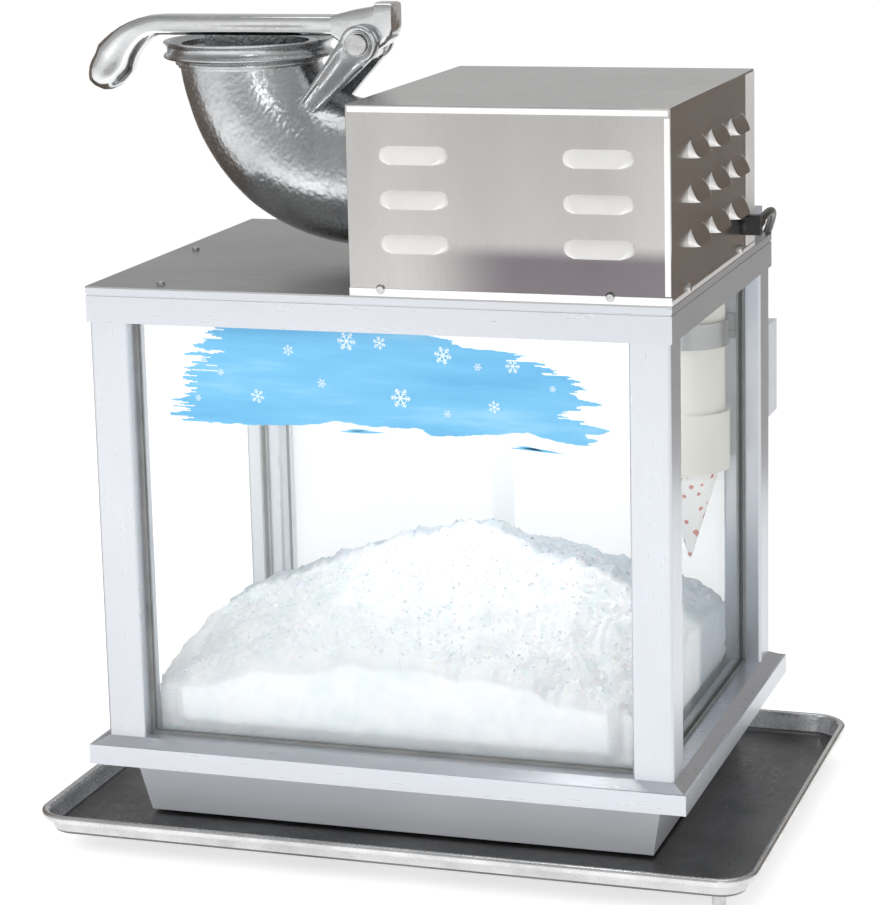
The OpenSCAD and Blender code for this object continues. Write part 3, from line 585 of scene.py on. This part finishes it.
def prism(points, plane, lo, hi):
    """Points (along, up) as a prism through a wall: plane is front or side."""
    def put(u, z, d):
        return at(u, d, z) if plane == "front" else at(d, u, z)
    return loft([[put(u, z, lo) for u, z in points], [put(u, z, hi) for u, z in points]])


housing = piece("housing_shell", *box_mesh((HX0, HY0, HZ0), (HX1, HY1, HZ1)), steel_up, sharp=30)
cut(housing, [box_mesh((HX0 + SHEET, HY0 + SHEET, HZ0 - 2), (HX1 - SHEET, HY1 - SHEET, HZ1 - SHEET))])
holes = []
for z in ROWS:
    for x in FRONT_X:
        holes.append(prism([(x + u, z - 1.5 + w) for u, w in obround(57, 9)], "front", HY0 - 3, HY0 + 3))
    for y in SIDE_Y:
        holes.append(prism([(y + u, z - 1.5 + w) for u, w in obround(57, 9)], "side", HX1 - 3, HX1 + 3))
holes.append(prism(circle_points((HEAD_Y, SHAFT_Z), TUBE_R + 0.8, 64), "side", HX0 - 3, HX0 + 3))
holes.append(prism(circle_points(GLAND, 6, 24), "side", HX1 - 3, HX1 + 3))
cut(housing, holes)
housing.data.shade_smooth()
housing.data.set_sharp_from_angle(angle=math.radians(30))
rounded(housing, 0.0012, 2)
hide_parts("motor_housing")


HIGHLIGHT_STRIPS = [  # painted highlights, thin strips on the folded edges where they catch the light: lowest and highest corner
    ((HX0, HY0 - 0.9, HZ0 + 0.2), (HX1 + 0.4, HY0 + 0.2, HZ0 + 7)),
    ((HX1 - 0.2, HY0, HZ0 + 0.2), (HX1 + 0.9, HY1, HZ0 + 4)),
    ((HX0 + 2, HY0 - 0.5, HZ1 - 6.5), (HX1 - 2, HY0 + 0.2, HZ1 - 1.5)),
    ((HX1 - 5.5, HY0 - 0.5, HZ0 + 8), (HX1 - 0.6, HY0 + 0.2, HZ1 - 8)),
    ((HX1 - 0.2, HY1 - 34, HZ0 + 5), (HX1 + 0.7, HY1, HZ1 - 2))]
painted_strips = piece("housing_edge_highlights", *join([box_mesh(lo, hi) for lo, hi in HIGHLIGHT_STRIPS]), highlight_steel, sharp=30)
rounded(painted_strips, 0.0004, 2)
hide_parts("motor_housing")


HOOD_GRID = (9, 40)


def hood(centre, plane):
    """One pressed louvre: a dome with round ends that is highest at its open lower edge."""
    length, height, out = 61.0, 15.0, 8.8
    rows, cols = HOOD_GRID
    skins = []
    for inset in (0.0, 0.9):
        grid = []
        for i in range(rows + 1):
            v = i / rows
            z = -height / 2 + 0.2 + (height - 0.2) * v
            for j in range(cols + 1):
                s = -1 + 2 * j / cols
                s = math.copysign(1 - (1 - abs(s)) ** 1.35, s)
                bulge = math.sqrt(max(0.0, 0.25 - (v - 0.5) ** 2)) * height
                taper = (length / 2 - height / 2 + bulge) / (length / 2)
                u = s * length / 2 * taper
                edge = max(0.0, 1 - ((abs(s) - 0.72) / 0.28) ** 2) if abs(s) > 0.72 else 1.0
                n = out * math.sqrt(edge) * (1 - v) ** 0.85
                n = max(0.0, n - inset)
                x, y = (centre[0] + u, HY0 - n) if plane == "front" else (HX1 + n, centre[0] + u)
                grid.append(at(x, y, centre[1] + z - (0.0 if inset == 0 else 0.5 * v)))
        skins.append(grid)
    faces = grid_faces(rows, cols)
    count = len(skins[0])
    faces += [tuple(k + count for k in f)[::-1] for f in faces]
    faces += [(j, j + count, j + 1 + count, j + 1) for j in range(cols)]
    return skins[0] + skins[1], faces


hoods = [hood((x, z), "front") for z in ROWS for x in FRONT_X]
front_hoods = len(hoods)
hoods += [hood((y, z), "side") for z in ROWS for y in SIDE_Y]
louvres = piece("pressed_louvres", *join(hoods), highlight_steel, sharp=50)
louvres.data.materials.append(steel_up)
# On the side only the near end of each hood, its first columns, keeps the painted highlight; the rest takes
# the housing's steel
per_row = HOOD_GRID[1] + 1
per_hood = len(hoods[0][0])
for p in louvres.data.polygons:
    first = min(p.vertices)
    if first // per_hood >= front_hoods and first % per_hood % per_row >= 5:
        p.material_index = 1
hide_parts("motor_housing")


# ---- Sheet pan: a rolled rim round a shallow floor ----

PAN = (10, -20)


def pan_ring(d, z, steps=14):
    """A rounded rectangle d outside the rim's outline, at height z."""
    hx, hy = 330 + d, 228.5 + d
    r = max(8.0, 33 + d)
    ring = []
    cx, cy = hx - r, hy - r
    for x, y, start in ((cx, cy, 0), (-cx, cy, 90), (-cx, -cy, 180), (cx, -cy, 270)):
        for k in range(steps + 1):
            a = math.radians(start + 90 * k / steps)
            ring.append(at(PAN[0] + x + r * math.cos(a), PAN[1] + y + r * math.sin(a), z))
    return ring


PAN_PROFILE = [  # from the middle out under the pan, round its rim and back inside
    (-40, 0.0), (-15, 0.0), (-13, 0.2), (-11.6, 1.0), (-10.4, 3.0), (-7.4, 13.2), (-6.0, 14.2), (-4.0, 13.6),
    (-2.0, 13.0), (-0.7, 13.4), (0.0, 14.8), (0.0, 17.6), (-0.5, 19.0), (-1.6, 19.8), (-3.2, 20.0),
    (-5.0, 19.6), (-6.2, 18.6), (-7.2, 16.8), (-8.2, 14.0), (-11.2, 4.0), (-12.4, 2.2), (-14.0, 1.4),
    (-16.0, 1.2), (-40, 1.2)]
pan = piece("sheet_pan", *loft([pan_ring(d, z) for d, z in PAN_PROFILE]), pan_alu, sharp=40)
pan.data.materials.append(rim_alu)
per_ring = len(pan_ring(0, 0))
for p in pan.data.polygons:
    row = p.vertices[0] // per_ring
    if len(p.vertices) == 4 and 4 <= row <= 18:
        p.material_index = 1
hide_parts("drip_pan")


# ---- Shaved ice ----

HEAP_X, HEAP_Y0, HEAP_Y1, HEAP_Z = 224, -164, 156, 33


def heap_height(x, y):
    away = math.sqrt((x - 15) ** 2 + (1.1 * (y - 30)) ** 2 + 1600) - 40
    z = 232 - 0.40 * away
    v = Vector((x, y, 0))
    z += 9 * lumps(v, 60) + 6.0 * lumps(v, 24) + 3.6 * abs(lumps(v, 9)) + 2.2 * lumps(v, 4)
    ridge = math.exp(-((y - 36 - 6 * lumps(Vector((x, 7, 3)), 40)) / 16) ** 2)
    return z + ridge * (3 + 7 * abs(lumps(Vector((x, 31, 9)), 13)) + 3 * lumps(Vector((x, 3, 1)), 5))


NX, NY = 224, 160
verts = []
for j in range(NY + 1):
    for i in range(NX + 1):
        x, y = -HEAP_X + 2 * HEAP_X * i / NX, HEAP_Y0 + (HEAP_Y1 - HEAP_Y0) * j / NY
        verts.append(at(x, y, heap_height(x, y)))
n = NX + 1
faces = grid_faces(NY, NX)
edge = [i for i in range(n)] + [j * n + NX for j in range(1, NY + 1)]
edge += [NY * n + i for i in range(NX - 1, -1, -1)] + [j * n for j in range(NY - 1, 0, -1)]
count = len(edge)
WALL_STEPS = 24


def clamp(v):
    return max(0.0, min(1.0, v))


def wall_point(x, y, z):
    """A point of the heap's side: pressed out to the glass, but clear of the posts and the base."""
    corner = (210 - abs(x)) / 12 if abs(y + 4) > 148 else (148 - abs(y + 4)) / 12
    reach = 9.0 if y < -150 or abs(x) > 200 else 3.0
    press = reach * clamp((z - 86) / 10) * clamp(corner) + 1.2 * lumps(Vector((x, y, z)), 7)
    if y < -150:
        return at(x, y - press, z)
    if y > 150:
        return at(x, y + min(press, 3.0), z)
    return at(x + math.copysign(press, x), y, z)


tops = [[(v - shift) * 1000 for v, shift in zip(verts[k], SHIFT)] for k in edge]
loops = [edge]
for step in range(1, WALL_STEPS + 1):
    loops.append(range(len(verts), len(verts) + count))
    verts += [wall_point(x, y, z + (HEAP_Z - z) * step / WALL_STEPS) for x, y, z in tops]
for a, b in zip(loops, loops[1:]):
    faces += [(a[(k + 1) % count], a[k], b[k], b[(k + 1) % count]) for k in range(count)]
faces.append(tuple(loops[-1])[::-1])
heap = piece("ice_heap_surface", verts, faces, snow, sharp=180)
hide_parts("ice_heap")

DIAMOND = ((1, 0, 0), (-1, 0, 0), (0, 1, 0), (0, -1, 0), (0, 0, 1), (0, 0, -1))
FACETS = [(0, 2, 4), (2, 1, 4), (1, 3, 4), (3, 0, 4), (2, 0, 5), (1, 2, 5), (3, 1, 5), (0, 3, 5)]
dice = random.Random(11)
crumbs = []
for _ in range(900):
    x = dice.uniform(-HEAP_X + 6, HEAP_X - 6)
    y = dice.uniform(HEAP_Y0 + 6, 70)
    r = dice.uniform(0.9, 2.6)
    c = Vector((x, y, heap_height(x, y) + 0.3 * r))
    crumbs.append(([at(*(c + Vector(d) * r * dice.uniform(0.6, 1.1))) for d in DIAMOND], FACETS))
crumb = piece("ice_crumbs", *join(crumbs), snow, sharp=20)
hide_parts("ice_heap")


# ---- Brushed sign film: plain blue with snowflakes, no lettering ----

SIGN_Y = -180.15
SIGN_TOP = 461.5


def table(points, v):
    """The value at v along straight lines between the points."""
    for (a, b), (c, d) in zip(points, points[1:]):
        if v <= c:
            return b + (d - b) * max(0.0, (v - a)) / (c - a)
    return points[-1][1]


# The film's left and right ends by the distance down, and its lower edge by X
LEFT = [(0, -150), (10, -162), (25, -170), (42, -176), (62, -185), (73, -190), (89, -186)]
RIGHT = [(0, 40), (6, 62), (11, 84), (14, 118), (21, 136), (29, 162), (42, 184), (50, 176), (56, 198),
         (61, 180), (66, 158), (70, 180), (78, 206), (84, 190), (93, 184)]
LOWER = [(-200, 87), (-119, 88), (-70, 86), (-39, 81), (-11, 84), (38, 84.5), (47, 90), (75, 89), (132, 83),
         (160, 90), (190, 93), (210, 80)]


def painted(x, v):
    """Whether the film covers the place at x, v below its top."""
    left, right_end = table(LEFT, v), table(RIGHT, v)
    streak = noise.noise(Vector((0, v * 0.24, 5)))
    fine_streak = noise.noise(Vector((x * 0.01, v * 0.75, 9)))
    left += 22 * streak + 6 * fine_streak
    right_end += 13 * noise.noise(Vector((3, v * 0.28, 1))) + 4 * fine_streak
    low = table(LOWER, x) + 1.2 * noise.noise(Vector((x * 0.08, 0, 2)))
    if not left < x < right_end or v > low:
        return False
    near_end = max(0.0, 1 - (x - left) / 40, 1 - (right_end - x) / 26)
    return noise.noise(Vector((x * 0.03, v * 0.5, 4))) < 0.9 - 0.85 * near_end


STEP_V = 0.9
parts = []
for i in range(105):
    v = i * STEP_V + STEP_V / 2
    start = None
    x = -215.0
    while x < 222:
        inside = painted(x, v)
        if inside and start is None:
            start = x
        if not inside and start is not None:
            z1, z0 = SIGN_TOP - i * STEP_V, SIGN_TOP - (i + 1) * STEP_V
            corners = [(start, z0), (x, z0), (x, z1), (start, z1)]
            parts.append(([at(u, SIGN_Y, z) for u, z in corners], [(0, 1, 2, 3)]))
            start = None
        x += 1.5
DRIPS = ((-36, 8, 90, 1.1), (-30, -8, 88.6, 1.0), (118, 168, 97, 1.2), (124, 148, 95.6, 1.0))
for x0, x1, v0, w in DRIPS:
    pts = []
    for k in range(13):
        t = k / 12
        drop = 3.5 * t * t if x0 > 50 else -0.8 * t
        half = w * math.sin(math.pi * min(1, t * 1.05 + 0.03)) + 0.1
        pts.append((x0 + (x1 - x0) * t, v0 + drop, half))
    vs = [at(x, SIGN_Y, SIGN_TOP - v - h) for x, v, h in pts]
    vs += [at(x, SIGN_Y, SIGN_TOP - v + h) for x, v, h in pts]
    parts.append((vs, [(k, k + 1, k + 14, k + 13) for k in range(12)]))
sign = piece("sign_film", *join(parts), film)
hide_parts("front_decal")


def bar(x0, v0, x1, v1, w, y):
    d = Vector((x1 - x0, v1 - v0))
    s = Vector((-d.y, d.x)).normalized() * w / 2
    pts = [(x0 + s.x, v0 + s.y), (x1 + s.x, v1 + s.y), (x1 - s.x, v1 - s.y), (x0 - s.x, v0 - s.y)]
    return [at(x, y, SIGN_TOP - v) for x, v in pts], [(3, 2, 1, 0)]


def snowflake(x, v, r, spin):
    parts = []
    for k in range(6):
        a = math.radians(60 * k + spin)
        ux, uv = math.cos(a), math.sin(a)
        parts.append(bar(x, v, x + r * ux, v + r * uv, r * 0.13, SIGN_Y - 0.06 - 0.004 * k))
        for part_way, arm in ((0.45, 0.34), (0.72, 0.26)):
            for side in (-1, 1):
                b = a + side * math.radians(52)
                px, pv = x + part_way * r * ux, v + part_way * r * uv
                parts.append(bar(px, pv, px + arm * r * math.cos(b), pv + arm * r * math.sin(b), r * 0.10,
                                 SIGN_Y - 0.10 - 0.004 * (2 * k + side)))
    return parts


FLAKES = [  # x, distance down, radius, turn
    (-28, 10, 8.5, 5), (2, 10.5, 6, 20), (59, 19, 8, 12), (121, 26, 6.5, 0), (-146, 42, 3.2, 10),
    (-82, 20, 5, 25), (90, 28, 3.6, 8), (156, 44, 3, 15), (-112, 62, 6.5, 15), (20, 58, 9, 3),
    (104, 62, 5.5, 24), (-52, 48, 4.2, 12), (62, 70, 3.4, 0), (-168, 66, 3, 0)]
flakes = [arm for flake in FLAKES for arm in snowflake(*flake)]
snowflakes = piece("sign_snowflakes", *join(flakes), flake_white)
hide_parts("front_decal")


# ---- Paper cones ----

CONE = (201, 124)
def cone_ring(r, z, steps=64, lap=0.0):
    ring = []
    for k in range(steps):
        a = 2 * math.pi * k / steps
        q = r + lap * max(0.0, 1 - abs(a - 4.2) / 0.06)
        ring.append(at(CONE[0] + q * math.cos(a), CONE[1] + q * math.sin(a), z))
    return ring


rings = [cone_ring(0.8, 193), cone_ring(2.0, 196)]
rings += [cone_ring(2 + 28.6 * k / 24, 196 + 92 * k / 24, lap=0.4) for k in range(1, 25)]
for k in range(23):
    z = 289 + 5 * k
    rings += [cone_ring(31.0, z + 0.4), cone_ring(31.0, z + 3.8), cone_ring(30.3, z + 4.6)]
rings += [cone_ring(29.6, 404), cone_ring(29.4, 289)]
rings += [cone_ring(29.4 * k / 12 + 0.4, 200 + 89 * k / 12) for k in range(11, -1, -1)]
paper = surface("paper", [(0.3, (0.80, 0.80, 0.78)), (0.7, (0.90, 0.90, 0.88))], (0.6, 0.8), 0.0,
                (40, (1, 1, 1)), (900, (1, 1, 1)), (0.15, 0.0002))
tree = paper.node_tree
spots = pebbles(tree, 105)
fleck = ramp(tree, spots, [(0.0, (0.60, 0.16, 0.14)), (0.24, (0.88, 0.88, 0.86))])
fleck.node.color_ramp.interpolation = "CONSTANT"
tree.links.new(fleck, tree.nodes["Principled BSDF"].inputs["Base Color"])
cones = piece("paper_cone_stack", *loft(rings), paper, sharp=50)
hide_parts("paper_cones")


# ---- Strain relief: a ribbed sleeve that tapers along the cord ----

sleeve = []
for k in range(25):
    y = 74 + k
    rib = 0.7 if k % 4 in (1, 2) else 0.0
    r = 7.4 - 0.085 * k + rib
    sleeve.append([at(x, y, z) for x, z in circle_points((274, GLAND[1]), r, 32)])
nut = [(5.9, 259.6), (5.9, 264.0), (9.6, 264.0), (10.2, 264.8), (10.2, 268.5), (9.2, 269.5), (8.0, 270.2)]
gland = turned(nut, (0, GLAND[0], GLAND[1]), "X", 40)
chamfered = ((-9, -8), (-8, -9), (2, -9), (3, -8), (3, 8), (2, 9), (-8, 9), (-9, 8))
block = [[at(264.4 + 17.0 * u, GLAND[0] + y, GLAND[1] + z) for y, z in chamfered] for u in (0, 0.06, 0.94, 1)]
relief = piece("cord_relief", *join([loft(sleeve), loft(gland), loft(block)]), black, sharp=45)
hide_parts("strain_relief")


# ---- Finishes on the pieces kept from the frame ----

FINISH = {
    frame_alu: ["post_front_left", "post_front_right", "post_rear_left", "post_rear_right"],
    rail_alu: ["bottom_frame", "top_frame", "lower_door_track", "upper_door_track"],
    tub_alu: ["base_tub", "cord_bracket", "switch_box"],
    roof_steel: ["top_plate", "drain_grate", "motor_cradle", "cone_bracket"],
    rubber: ["pan_feet", "tub_feet"],
    glass: ["front_glass", "left_glass", "right_glass"],
    door: ["door_left", "door_right", "pull_left", "pull_right"],
    gasket: ["glass_gaskets"],
    cream: ["cone_tube", "cone_collar", "lamp_socket"],
    bright: ["housing_screws", "plate_screws", "throat_bolts", "pivot_bolt", "disc_nut", "motor_shaft",
             "blade_disc", "blade_knives", "plug_blades", "pan_drain_tube"],
    dark_metal: ["motor_shell", "motor_left_bell", "motor_right_bell", "capacitor"],
    copper: ["motor_stator"],
    brass: ["pivot_bushes"],
    cast_alu: ["shave_head", "pusher_head"],
    bulb: ["lamp_bulb"],
    black: ["motor_rocker", "lamp_rocker"],
}
for material, names in FINISH.items():
    for name in names:
        mesh = node[name].data
        mesh.materials.clear()
        mesh.materials.append(material)
EDGES = {"post_front_left": 0.8, "post_front_right": 0.8, "post_rear_left": 0.8, "post_rear_right": 0.8,
         "bottom_frame": 1.2, "top_frame": 1.0, "base_tub": 1.5, "top_plate": 0.5, "door_left": 0.8,
         "door_right": 0.8, "switch_box": 1.0, "cord_bracket": 0.5, "motor_rocker": 0.5, "lamp_rocker": 0.5,
         "shave_head": 1.0, "pusher_head": 1.2, "cone_collar": 0.8, "plug_blades": 0.2, "motor_cradle": 0.5}
for name, width in EDGES.items():
    rounded(node[name], width / 1000)


# ---- Studio ----

def lamp(name, where, target, size, power, colour=(1, 1, 1), depth=None):
    data = bpy.data.lights.new(name, "AREA")
    data.shape = "RECTANGLE"
    data.size, data.size_y = size, depth or size
    data.energy = power
    data.color = colour
    obj = bpy.data.objects.new(name, data)
    obj.location = where
    obj.rotation_euler = (Vector(target) - Vector(where)).to_track_quat("-Z", "Y").to_euler()
    bpy.context.scene.collection.objects.link(obj)
    return obj


lamp("key", (-1.6, -2.2, 2.2), (0, 0, 0.4), 1.6, 24, (1.0, 0.99, 0.97)).visible_glossy = False
lamp("front_fill", (1.4, -2.6, 1.2), (0, 0, 0.4), 1.6, 1.5, (0.96, 0.98, 1.0))
lamp("low_fill", (-0.7, -1.9, 0.30), (0, -0.2, 0.06), 0.8, 5).visible_glossy = False
lamp("tall_strip", (0.95, -2.9, 1.5), (-0.1, 0, 0.65), 0.25, 6, (1, 1, 1), 1.5)
lamp("top", (0, 0.2, 2.6), (0, 0, 0), 1.8, 12)
lamp("cabinet_glow", at(20, 40, 455), at(10, 20, 100), 0.26, 0.8, (1.0, 0.99, 0.97), 0.2)

floor_mat = bpy.data.materials.new("pale_floor")
floor_mat.use_nodes = True
shader = floor_mat.node_tree.nodes["Principled BSDF"]
shader.inputs["Base Color"].default_value = (0.90, 0.90, 0.90, 1)
shader.inputs["Roughness"].default_value = 0.9
shader.inputs["Specular IOR Level"].default_value = 0.1
shader.inputs["Emission Color"].default_value = (1, 1, 1, 1)
shader.inputs["Emission Strength"].default_value = 0.62
S = 30
floor = piece("floor", [(-S, -S, 0), (S, -S, 0), (S, S, 0), (-S, S, 0)], [(0, 1, 2, 3)], floor_mat, body=None)

card_mat = bpy.data.materials.new("dark_card")
card_mat.use_nodes = True
card_mat.node_tree.nodes["Principled BSDF"].inputs["Base Color"].default_value = (0.17, 0.135, 0.11, 1)


def dark_card(name, corners):
    """A card that only reflections see."""
    card = piece(name, corners, [(0, 1, 2, 3)], card_mat, body=None)
    for ray in ("camera", "diffuse", "transmission", "shadow"):
        setattr(card, "visible_" + ray, False)


SIDE_CARDS = (("dark_card_right", (0.40, 1.3), (2.2, 1.0)), ("dark_card_left", (-2.0, -0.3), (-1.15, 1.3)))
for name, a, b in SIDE_CARDS:
    dark_card(name, [(*a, 0), (*b, 0), (*b, 1.6), (*a, 1.6)])
FLOOR_CARD = [(-2.2, -0.35), (-0.45, -0.35), (-0.45, 1.4), (-2.2, 1.4)]
dark_card("dark_card_floor", [(x, y, 0.012) for x, y in FLOOR_CARD])

world = bpy.data.worlds.new("studio")
world.use_nodes = True
bpy.context.scene.world = world
t = world.node_tree
coords = t.nodes.new("ShaderNodeTexCoord")
split = t.nodes.new("ShaderNodeSeparateXYZ")
t.links.new(coords.outputs["Generated"], split.inputs["Vector"])
SKY = [(0.0, grey(0.95)), (0.05, grey(1.05)), (0.35, grey(0.80)), (1.0, grey(0.60))]
sky = ramp(t, split.outputs["Z"], SKY)
t.links.new(sky, t.nodes["Background"].inputs["Color"])
t.nodes["Background"].inputs["Strength"].default_value = 0.62
